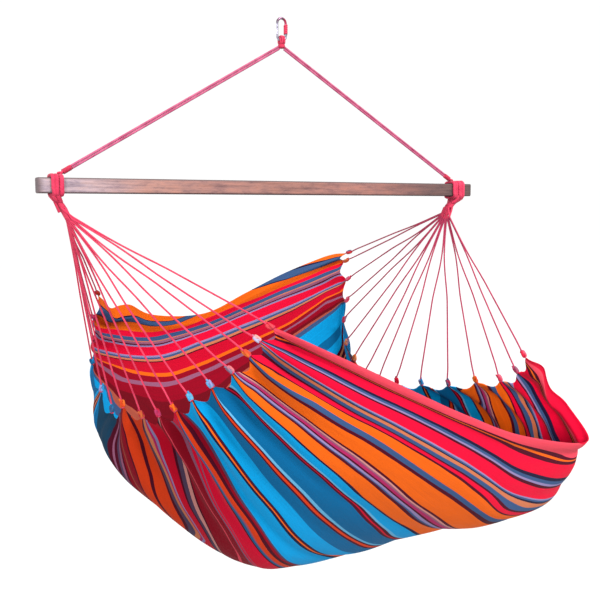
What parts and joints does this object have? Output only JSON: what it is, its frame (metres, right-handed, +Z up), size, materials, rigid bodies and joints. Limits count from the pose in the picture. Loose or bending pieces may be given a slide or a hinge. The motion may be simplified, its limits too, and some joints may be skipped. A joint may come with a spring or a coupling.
{
  "type": "hammock chair",
  "caption": "Hanging hammock chair: striped cloth sling on two fans of cords, wooden spreader bar, rope legs and a steel snap link.",
  "frame": {"origin": "the point inside the snap link's top bow where a ceiling hook bears", "axes": "+Z up; X along the spreader bar, the seat's high back corner at +X +Y; the front of the seat faces -Y"},
  "size_m": [1.5611, 1.024, 1.5938],
  "materials": {
    "steel": "satin",
    "wood": "satin",
    "rope": "matte",
    "striped_cotton": "matte"
  },
  "bodies": {
    "link": {"link_body": "steel", "gate_pin": "steel", "link_binding": "rope"},
    "gate": {"link_gate": "steel"},
    "rope_top": {"top_rope_eye": "rope", "top_whipping": "rope"},
    "bar": {"spreader_bar": "wood", "rope_left_upper": "rope", "rope_left_lower": "rope", "bar_eye_left": "rope", "fan_loop_left": "rope", "fan_seizing_left": "rope", "fan_crown_left": "rope", "rope_right_upper": "rope", "rope_right_lower": "rope", "bar_eye_right": "rope", "fan_loop_right": "rope", "fan_seizing_right": "rope", "fan_crown_right": "rope"},
    "seat": {"seat_cloth": "striped_cotton", "cord_left_1": "rope", "cord_left_2": "rope", "cord_left_3": "rope", "cord_left_4": "rope", "cord_left_5": "rope", "cord_left_6": "rope", "cord_left_7": "rope", "cord_left_8": "rope", "cord_right_1": "rope", "cord_right_2": "rope", "cord_right_3": "rope", "cord_right_4": "rope", "cord_right_5": "rope", "cord_right_6": "rope", "cord_right_7": "rope", "cord_right_8": "rope"}
  },
  "joints": [
    {"name": "gate_hinge", "type": "hinge", "parent": "link", "child": "gate", "pos_m": [-0.0135, 0, -0.0395], "axis": [0, 1, 0], "range_deg": [0, 25], "stiffness_Nm_per_rad": 0.02, "springref_deg": -17.19},
    {"name": "swing_fore_aft", "type": "hinge", "parent": "link", "child": "rope_top", "pos_m": [0, 0, -0.0595], "axis": [1, 0, 0], "range_deg": [-25, 25]},
    {"name": "swing_sideways", "type": "hinge", "parent": "rope_top", "child": "bar", "pos_m": [0, 0, -0.0746], "axis": [0, 1, 0], "range_deg": [-20, 20]},
    {"name": "seat_swing", "type": "hinge", "parent": "bar", "child": "seat", "pos_m": [0, 0, -0.549], "axis": [1, 0, 0], "range_deg": [-20, 20]}
  ]
}
